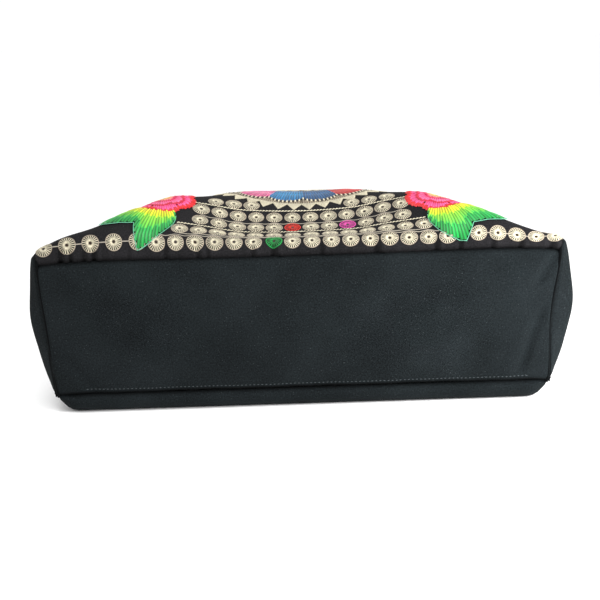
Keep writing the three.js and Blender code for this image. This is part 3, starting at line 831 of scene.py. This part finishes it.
def swags(places, dip, t_offset):
    """A thread over the tops of a row of coins, dipping between each pair."""
    for (s0, t0), (s1, _) in zip(places[:-1], places[1:]):
        if s1 - s0 < NEXT_COIN:
            x = np.linspace(s0, s1, 9)[None, :]
            y = t0 + t_offset - dip * np.sin((x - s0) / (s1 - s0) * math.pi) ** 2
            lines.ridges(x, y, SWAG_WIDTH, SWAG_LIFT, [SILVER])


middle_row = [p for p in border_row if BORDER_MIDDLE[0] < p[0] < BORDER_MIDDLE[1]] + [GREEN_COIN]
for flip_t in (False, True):
    for t, s0, s1 in ((33.5, -86, 92), (63.5, -78, 82)):
        beaded(s0, s1, from_end(t, flip_t))
    for places, dip, offset in (
        (sorted(middle_row), 1.6, 6.6),
        (in_row(FIRST_COLUMN - 5 * ROW_PITCH, ROW_PITCH, 12, 41.5), 1.4, 6.6),
        (in_row(FIRST_COLUMN - 6 * ROW_PITCH, ROW_PITCH, 14, 25.5), 0.8, -6.2),
    ):
        sign = -1 if flip_t else 1
        swags([(s, from_end(t, flip_t)) for s, t in places], sign * dip, sign * offset)
for row in (border_row, mirrored(border_row)):
    for (s0, t0), (s1, t1) in zip(row[:-1], row[1:]):
        if abs(s0) > BORDER_MIDDLE[1] and 0 < s1 - s0 < NEXT_COIN:
            s = np.linspace(s0 + COIN_RADIUS, s1 - COIN_RADIUS, 5)[None, :]
            lines.ridges(s, np.linspace(t0, t1, 5)[None, :], LINE_WIDTH, LINE_LIFT, [SILVER])
for side in (-1, 1):
    for t0, t1 in zip(side_coins[:-1], side_coins[1:]):
        t = np.linspace(t0 + COIN_RADIUS, t1 - COIN_RADIUS, 5)[None, :]
        lines.ridges(np.full((1, 5), side * SIDE_BORDER), t, LINE_WIDTH, LINE_LIFT, [SILVER])
line_piece = lines.made("couched_lines")


# The flowers: two peonies at each end of the panel, about 50 mm across, of satin stitches fanned
# about their middles in bands of red, pink and crimson. Their leaves fan out below them.
PEONIES = [{"at": (-100, 67), "side": -1}, {"at": (105, 63), "side": 1}]
PEONY_RADIUS = 25
PEONY_PITCH = 1.4
STITCH_PITCH = 1.7
STITCH_OVERLAP = 1.08
WHOLE = (0, 360)
BAND_LIFTS = np.array([0.10, 0.75, 1.0, 0.75, 0.10])
BAND_SHARES = np.array([0, 0.25, 0.5, 0.75, 1.0])


def fan(
    stitching, at, spread, inner, outer, first, last, side=1, flip_t=False,
    base=0.15, rise=0.5, jag=0.0, pitch=STITCH_PITCH, shade=0.22, side_shade=0.32,
):
    """A band of stitches fanned about a point, between two edges and from one colour to another.

    Degrees run from straight towards the base seam. jag makes the stitches' ends uneven.
    """
    opening = abs(math.radians(spread[1] - spread[0]))
    samples = np.linspace(*spread, 30)
    typical = (np.mean(outer(samples)) + np.mean(inner(samples))) / 2
    count = max(3, int(opening * typical / pitch))
    degrees = np.linspace(*spread, count)
    angle = np.radians(degrees)[:, None]
    near = inner(degrees) + rng.uniform(-jag, jag, count) * 0.5
    far = outer(degrees) + np.where(np.arange(count) % 2, jag, -jag) * rng.uniform(0.4, 1, count)
    reach = near[:, None] + (far - near)[:, None] * BAND_SHARES
    s = at[0] + side * np.sin(angle) * reach
    t = from_end(at[1] - np.cos(angle) * reach, flip_t)
    width = np.maximum(0.25, reach * opening / count * STITCH_OVERLAP)
    first, last = np.asarray(first, float), np.asarray(last, float)
    colours = first + (last - first) * BAND_SHARES[None, :, None]
    lift = base + rise * BAND_LIFTS
    # side_shade darkens the stitches' sides as painted shade.
    stitching.ridges(s, t, width, lift, colours, shade, crown=0.4, side_shade=side_shade)


def steady(value):
    return lambda degrees: np.full(np.shape(degrees), float(value))


def scallops(radius, dip, petals, start):
    """A flower's edge: a distance for each angle, with a dip between its petals."""
    def edge(degrees):
        petal = np.abs(np.sin(np.radians(degrees - start) * petals / 2)) ** 0.55
        return radius * (1 - dip * (1 - petal))
    return edge


def shifted(edge, by):
    return lambda degrees: edge(degrees) + by


def peony(stitching, at, side, flip_t):
    """Three rings of petals, from the rim inwards, each a red edge over a pink fan, and a middle."""
    radius = PEONY_RADIUS
    rim = scallops(radius, 0.16, 6, 20)
    second = scallops(radius * 0.70, 0.20, 5, 46)
    third = scallops(radius * 0.44, 0.22, 4, 10)
    for inner, outer, first, last, base, jag in (
        (shifted(rim, -4.8), rim, 0xe02a30, 0xcf1a20, 0.6, 0.4),
        (steady(radius * 0.5), shifted(rim, -3.6), 0xd61c5c, 0xf4609a, 0.75, 1.3),
        (shifted(second, -3.0), second, 0xdf2448, 0xb81430, 1.1, 0.3),
        (steady(radius * 0.30), shifted(second, -2.0), 0xd21c60, 0xf5709f, 1.2, 1.0),
        (shifted(third, -2.6), third, 0xe63a6c, 0xc2163c, 1.5, 0.3),
        (steady(radius * 0.12), shifted(third, -1.8), 0xe8c832, 0xf0708c, 1.6, 0.8),
        (steady(0.3), steady(radius * 0.13), 0x8f8a22, 0xe6cf34, 1.6, 0.0),
    ):
        fan(
            stitching, at, WHOLE, inner, outer, srgb(first), srgb(last), side, flip_t,
            base=base, jag=jag, pitch=PEONY_PITCH, shade=0.14, side_shade=0.45,
        )


# The leaves' edge at each flower: degrees round it from straight towards the base seam, and distances.
LEAF_EDGES = {
    -1: [
        (-23, 29), (-17, 37), (-8, 45), (3, 54), (10, 60), (13.5, 62.5), (17, 54), (23, 42.5),
        (34, 47), (43, 53.5), (47.5, 56), (54, 48), (64, 37), (75, 25),
    ],
    1: [
        (-21, 29), (-15, 38), (-6, 46), (5, 53), (11, 57), (14.5, 58.5), (19, 53), (25, 46.5),
        (36, 50), (45, 55), (51, 57), (57, 48), (65, 37), (75, 25),
    ],
}
LIME_FROM, LIME_TO = 24, 31.5
LEAF_EDGING = srgb(0x5ca585)


def leaves(stitching, at, side, flip_t):
    """Bands of yellow, lime and green that run out to the leaves' edge, and a thread along it."""
    table = np.array(LEAF_EDGES[side])
    spread = (table[0, 0], table[-1, 0])

    def leaf_edge(degrees):
        return np.interp(degrees, table[:, 0], table[:, 1])

    def lime_edge(degrees):
        return np.minimum(LIME_TO, LIME_FROM + (leaf_edge(degrees) - LIME_FROM) * 0.5)

    def green_edge(degrees):
        return lime_edge(degrees) + (leaf_edge(degrees) - lime_edge(degrees)) * 0.55

    for inner, outer, first, last, base, jag in (
        (steady(23), shifted(lime_edge, 0.5), 0xf2d81c, 0xb8e02c, 1.25, 1.6),
        (shifted(lime_edge, -3.0), green_edge, 0x9ade30, 0x4cc04a, 1.15, 2.4),
        (shifted(green_edge, -4.5), shifted(leaf_edge, -0.6), 0x2cb04c, 0x118a3c, 1.05, 0.5),
    ):
        fan(stitching, at, spread, inner, outer, srgb(first), srgb(last), side, flip_t, base=base, jag=jag)
    degrees = np.linspace(*spread, 90)[None, :]
    angle, reach = np.radians(degrees), leaf_edge(degrees) + 0.4
    s = at[0] + side * np.sin(angle) * reach
    t = from_end(at[1] - np.cos(angle) * reach, flip_t)
    stitching.ridges(s, t, 0.55, 1.2, [LEAF_EDGING], 0.05, side_shade=0.8)


leaf_stitches, peony_stitches = Stitching(), Stitching()
for flower in PEONIES:
    for flip_t in (False, True):
        leaves(leaf_stitches, flower["at"], flower["side"], flip_t)
        peony(peony_stitches, flower["at"], flower["side"], flip_t)
leaf_piece = leaf_stitches.made("leaf_stitches")
peony_piece = peony_stitches.made("peony_stitches")


# The medallion: a round of coloured petals in the middle of the panel, edged with black and white
# blanket stitches, on a tan ring with cream zigzag teeth. Smaller rings fill its inside.
MEDALLION = (3.5, 160)
TEETH = 50
TOOTH_TIP, TOOTH_FOOT, RING_INNER = 95.5, 87.5, 76
PETAL_TIP, PETAL_DIP, PETAL_ROOT = 84.5, 0.075, 55
PETAL_TURN, FIRST_PETAL, PETAL_GAP = 20, 1.0, 0.25
PETAL_MIDDLE = 68
# Inner and outer thread of each petal, going round from straight towards the base seam.
PETAL_THREADS = [
    (0x155f96, 0x0f4470), (0xdc3026, 0xbc1a1a), (0xa03a2c, 0x74201c), (0x49b35c, 0x1d7a3a),
    (0xf0c23a, 0xd98d1e), (0x3aa0cf, 0x1f6ba6), (0xf08ab4, 0xd2467e), (0xf08a3c, 0xd0521c),
    (0x9a6ac0, 0x63398c), (0x4fc0b4, 0x1c8278), (0xf0c23a, 0xd98d1e), (0x3aa0cf, 0x1f6ba6),
    (0x49b35c, 0x1d7a3a), (0xe8483a, 0xc8201f), (0xe87aa6, 0xd0487f), (0xd8cfb8, 0xb8ae98),
    (0xe682a8, 0xd65088), (0x1887bd, 0x1068a0),
]
STRIPED_PETAL = 15
BLACK_THREAD = srgb(0x1c1a1b)
BLANKET_STITCHES = 330
BLANKET_BLACK = srgb(0x131214)


def tooth_edge(degrees):
    phase = (np.asarray(degrees) * TEETH / 360) % 1
    return TOOTH_FOOT + (TOOTH_TIP - TOOTH_FOOT) * (1 - np.abs(2 * phase - 1))


medallion_stitches = Stitching()
fan(
    medallion_stitches, MEDALLION, WHOLE, steady(TOOTH_FOOT - 2), tooth_edge, CREAM, CREAM,
    rise=0.55, shade=0.12, pitch=0.6,
)
fan(
    medallion_stitches, MEDALLION, WHOLE, steady(RING_INNER), steady(TOOTH_FOOT - 1.5),
    srgb(0x857863), srgb(0x9a8d77), rise=0.35, shade=0.16,
)
petal_edge = scallops(PETAL_TIP, PETAL_DIP, 360 / PETAL_TURN, FIRST_PETAL)
petal_root, under_blanket = steady(PETAL_ROOT), shifted(petal_edge, -1.8)
for k, (root, tip) in enumerate(PETAL_THREADS):
    first_edge, last_edge = FIRST_PETAL + k * PETAL_TURN, FIRST_PETAL + (k + 1) * PETAL_TURN
    spread = (first_edge + PETAL_GAP, last_edge - PETAL_GAP)
    root, tip = srgb(root), srgb(tip)
    bands = [
        (spread, steady(PETAL_MIDDLE - 1), under_blanket, root, tip),
        (spread, petal_root, steady(PETAL_MIDDLE + 1), tip, root),
    ]
    if k == STRIPED_PETAL:
        edges = np.linspace(*spread, 13)
        stripes = enumerate(zip(edges[:-1], edges[1:]))
        bands = [
            (pair, petal_root, shifted(petal_edge, -2.2), *[CREAM if i % 2 else BLACK_THREAD] * 2)
            for i, pair in stripes
        ]
    for band in bands:
        fan(medallion_stitches, MEDALLION, *band, jag=0.4, base=0.45)
blanket = np.linspace(0, 360, BLANKET_STITCHES, endpoint=False)
angle = np.radians(blanket)[:, None]
reach = (petal_edge(blanket) - 2.4)[:, None] + np.array([0, 1.3, 2.7])
every_other = (np.arange(BLANKET_STITCHES) % 2)[:, None]
medallion_stitches.ridges(
    MEDALLION[0] + np.sin(angle) * reach, MEDALLION[1] - np.cos(angle) * reach, 1.15,
    np.array([0.95, 1.15, 0.55]), np.where(every_other, CREAM, BLANKET_BLACK)[:, None], 0.06,
)
medallion_piece = medallion_stitches.made("medallion_stitches")

INNER_TIP, INNER_FOOT, INNER_TEETH = 54.5, 49, 32
INNER_PETALS = 8
inner_stitches = Stitching()


def inner_tooth_edge(degrees):
    phase = (np.asarray(degrees) * INNER_TEETH / 360) % 1
    return INNER_TIP - (INNER_TIP - INNER_FOOT) * np.abs(2 * phase - 1)


def inner_ring(spread, inner, outer, first, last, **looks):
    fan(inner_stitches, MEDALLION, spread, inner, outer, first, last, **looks)


inner_ring(WHOLE, steady(44), inner_tooth_edge, CREAM, CREAM, rise=0.55, pitch=0.6)
inner_edge = scallops(42, 0.12, INNER_PETALS, 0)
for k in range(INNER_PETALS):
    root, tip = (srgb(code) for code in PETAL_THREADS[(k * 5 + 1) % 15])
    spread = (k * 45 + 0.6, k * 45 + 44.4)
    inner_ring(spread, steady(29), inner_edge, root, tip, base=0.4, jag=0.4)
    inner_ring(spread, steady(17), steady(30), tip, root, base=0.4, jag=0.4)
inner_ring(WHOLE, steady(9), steady(17), srgb(0xe8c93a), srgb(0xd0352a), base=0.4)
inner_ring(WHOLE, steady(1.2), steady(9.4), CREAM, CREAM, base=0.5)
inner_piece = inner_stitches.made("medallion_inner_stitches")


# Machine stitches: single rows of dark thread, each stitch sunk at its ends. One holds the seam
# allowance of the base's lower seam, and one holds each hem, 3 mm from the hem's inner edge.
TOPSTITCH_UP = 3.7
HEM_STITCH_UP = 3
STITCH_LENGTH = 2.0
STITCH_EVERY = 3.1
STITCH_WIDTH = 0.75
STITCH_LIFTS = np.array([-0.05, 0.35, -0.05])
SLATE_THREAD, CHARCOAL_THREAD = srgb(0x363d40), srgb(0x3c383a)


def machine_row(name, surface, ends, t, colour, record_slot):
    """A row of stitches from end to end across a panel, as a piece of its own."""
    stitching = Stitching(surface, flip=surface is not on_front)
    middle = np.arange(*ends, STITCH_EVERY)[:, None]
    along = np.array([-0.5, 0, 0.5]) * STITCH_LENGTH
    stitching.ridges(middle + along, t + 0 * along, STITCH_WIDTH, STITCH_LIFTS, [colour], 0.15)
    return stitching.made(name, record_slot)


base_stitch_t, hem_stitch_t = BASE_DEPTH - TOPSTITCH_UP, PANEL_LENGTH - HEM_DEPTH + HEM_STITCH_UP
base_stitch_piece = machine_row(
    "base_topstitching", on_base, (-164, 172), base_stitch_t, SLATE_THREAD, "canvas"
)
hem_stitch_piece = machine_row(
    "front_hem_stitching", on_front, (-180, 180), hem_stitch_t, CHARCOAL_THREAD, "embroidered_cloth"
)
back_stitch_piece = machine_row(
    "back_hem_stitching", on_back, (-172, 172), hem_stitch_t, SLATE_THREAD, "canvas"
)


# The hems: at the mouth the front and the back cloth are each folded inwards by 25 mm, round an edge
# as thick as two layers, and the fold lies against the inside of its own panel.
HEM_LAYERS = 2
HEM_THINNED = 0.85
HEM_SHORT = 0.8
FOLD_STEPS, FLAT_STEPS = 9, 8


def hem_piece(name, surface, half, flip, finish, record_slot):
    turn = np.radians(np.linspace(80, -90, FOLD_STEPS))
    flat_t = np.linspace(PANEL_LENGTH - 4, PANEL_LENGTH - HEM_DEPTH, FLAT_STEPS)
    hem_t = np.concatenate([PANEL_LENGTH - CLOTH + CLOTH * np.cos(turn), flat_t])
    hem_lift = np.concatenate([CLOTH * (np.sin(turn) - 1), np.full(FLAT_STEPS, -2.0 * CLOTH)])
    steps = np.arange(float(FOLD_STEPS + FLAT_STEPS))

    def folded(s, row):
        return surface(s, np.interp(row, steps, hem_t), np.interp(row, steps, hem_lift))
    columns = np.linspace(-half + HEM_SHORT, half - HEM_SHORT, 120)
    made = grid_piece(name, folded, columns, steps, flip, finish, record_slot)
    made.modifiers["thickness"].thickness = CLOTH * HEM_THINNED * MM
    return made


front_hem = hem_piece("front_hem", on_front, HALF_FRONT, False, front_finish, "embroidered_cloth")
back_hem = hem_piece("back_hem", on_back, HALF_BACK, True, canvas_finish, "canvas")


# The straps: black cotton webbing 28 mm wide, each cut 590 mm long, with 22 mm of each end sewn
# inside the hem. They leave the mouth, settle on their edges and meet in an arch.
STRAP_WIDTH = 28
STRAP_THICK = 2.6
STRAP_LENGTH = 590
STRAP_SPACING = 150
STRAP_SEWN = 22
STRAP_CLEARANCE = 0.6
STRAP_WALK = 260
STRAP_RING = 32
STRAP_SEWN_ROWS = 8
WIDEST_SPLAY = 60.0
CHEVRONS_PER_MM = 0.1428
# Half of each strap from the hem to its middle: shares of its length, of a quarter turn, of the bow
# and of the height at the mouth, and its roll in degrees.
STRAP_COLUMNS = ("along", "turn", "bow", "height", "roll")
STRAP_COURSES = {
    "back": [
        (0.00, 0.00, 0, 1.00, 0), (0.12, 0.00, 1, 0.30, 14), (0.30, 0.02, 1, 0.00, 62),
        (0.48, 0.12, 1, 0.00, 84), (1.00, 1.00, 0, 0.00, 86),
    ],
    "front": [
        (0.00, 0.00, 0, 1.00, 0), (0.14, 0.00, 1, 1.02, 6), (0.60, 0.16, 1, 0.00, 72),
        (0.72, 0.35, 1, 0.00, 84), (1.00, 1.00, 0, 0.00, 86),
    ],
}


def webbing_paint(w):
    """Black webbing: raised ribs across the band and a chevron of yarns in its colour."""
    band = w.node("UVMap", {"uv_map": "cloth"})
    u, v, _ = w.node("SeparateXYZ", {}, {0: band}).parts()
    fold = w.maths("ABSOLUTE", w.maths("FRACT", u * CHEVRONS_PER_MM) - 0.5)
    ribs = (v * 4.2 + fold * 22).sine()
    grain = w.node("TexNoise", {}, {"Vector": band, "Scale": 1.3, "Detail": 2.0})
    stops = [(0.2, srgb(0x0d0f10)), (0.9, srgb(0x2a2e30))]
    colour = w.node("ValToRGB", {"stops": stops}, {0: ribs * 0.22 + grain * 0.6 + 0.2})
    bump = w.node("Bump", {}, {"Strength": 0.6, "Distance": 0.0005, "Height": ribs * 0.6 + grain * 0.5})
    return {"Base Color": colour, "Normal": bump}


webbing = material("black_webbing", webbing_paint, Roughness=0.75, Specular_IOR_Level=0.2)


def strap_course(panel, start, height_at_mouth, roll_at_mouth):
    """Centres and rolls along half a strap, of its true length, ending on the bag's middle line."""
    table = np.array(STRAP_COURSES[panel], float)
    length = STRAP_LENGTH / 2 - STRAP_SEWN
    along = np.linspace(0, 1, STRAP_WALK + 1)
    middle = (along[1:] + along[:-1]) / 2

    def at(name, places):
        return smooth_curve(table[:, 0], table[:, STRAP_COLUMNS.index(name)], places)
    roll = np.radians(at("roll", along) + roll_at_mouth * (1 - smooth_step(along * 4)))
    half_tall = STRAP_WIDTH / 2 * np.sin(np.abs(roll)) + STRAP_THICK / 2 * np.cos(roll)
    height = at("height", along) * height_at_mouth + half_tall
    rise = np.diff(height)
    level = np.sqrt(np.maximum(0, (length / STRAP_WALK) ** 2 - rise**2))
    out, inside = -WIDEST_SPLAY, WIDEST_SPLAY
    for _ in range(HALVINGS):
        splay = (out + inside) / 2
        turn = np.radians(90 * at("turn", middle) + splay * at("bow", middle))
        steps = np.stack([-np.sin(turn) * level, np.cos(turn) * level, rise], -1)
        centres = start + np.concatenate([np.zeros((1, 3)), np.cumsum(steps, axis=0)])
        if centres[-1, 0] < 0:
            inside = splay
        else:
            out = splay
    return centres, roll


def strap_piece(name, panel, surface, half):
    """A band of webbing swept along its course, with rounded edges and closed ends."""
    s = STRAP_SPACING / 2 * half / drawn_in(half, PANEL_LENGTH)
    under = -(CLOTH * HEM_LAYERS + STRAP_CLEARANCE + STRAP_THICK / 2)
    sewn_t = np.linspace(PANEL_LENGTH - STRAP_SEWN, PANEL_LENGTH, STRAP_SEWN_ROWS)
    sewn = surface(np.full(STRAP_SEWN_ROWS, s), sewn_t, np.full(STRAP_SEWN_ROWS, under))
    beside = surface(np.array([s - 1, s + 1]), np.full(2, float(PANEL_LENGTH)), np.full(2, under))
    slope = beside[1] - beside[0]
    tilt = math.atan2(slope[2], slope[0])
    tall = STRAP_WIDTH / 2 * math.sin(abs(tilt)) + STRAP_THICK / 2 * math.cos(tilt)
    start = sewn[-1]
    centres, roll = strap_course(panel, start, start[2] - tall, math.degrees(tilt))
    centres = np.concatenate([sewn[:-1], centres[::2]])
    roll = np.concatenate([np.full(STRAP_SEWN_ROWS - 1, tilt), roll[::2]])
    centres = np.concatenate([centres, centres[-2::-1] * (-1, 1, 1)])
    roll = np.concatenate([roll, roll[-2::-1]])
    ahead = np.gradient(centres, axis=0)
    ahead /= np.linalg.norm(ahead, axis=1, keepdims=True)
    flat = np.cross(ahead, (0, 0, 1))
    flat /= np.linalg.norm(flat, axis=1, keepdims=True)
    upright = np.cross(flat, ahead)
    cosine, sine = np.cos(roll)[:, None], np.sin(roll)[:, None]
    band = flat * cosine + upright * sine
    face = upright * cosine - flat * sine
    turn = np.linspace(0, 2 * math.pi, STRAP_RING + 1)[:-1]
    wide = np.sign(np.cos(turn)) * np.abs(np.cos(turn)) ** 0.18 * STRAP_WIDTH / 2
    thick = np.sign(np.sin(turn)) * np.abs(np.sin(turn)) ** 0.5 * STRAP_THICK / 2
    points = centres[:, None] + band[:, None] * wide[:, None] + face[:, None] * thick[:, None]
    ring = np.arange(STRAP_RING)
    rows = np.arange(len(centres) - 1)[:, None] * STRAP_RING
    here, there = rows + ring, rows + (ring + 1) % STRAP_RING
    faces = np.stack([here, there, there + STRAP_RING, here + STRAP_RING], -1).reshape(-1, 4).tolist()
    faces.append(ring[::-1].tolist())
    faces.append((ring + (len(centres) - 1) * STRAP_RING).tolist())
    travelled = np.concatenate([[0], np.cumsum(np.linalg.norm(np.diff(centres, axis=0), axis=1))])
    uv = np.stack(np.broadcast_arrays(wide + thick, travelled[:, None]), -1)
    return piece(name, points.reshape(-1, 3), faces, webbing, "webbing", uv.reshape(-1, 2))


strap_back = strap_piece("strap_back_webbing", "back", on_back, HALF_BACK)
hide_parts("strap_back")
strap_front = strap_piece("strap_front_webbing", "front", on_front, HALF_FRONT)
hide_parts("strap_front")
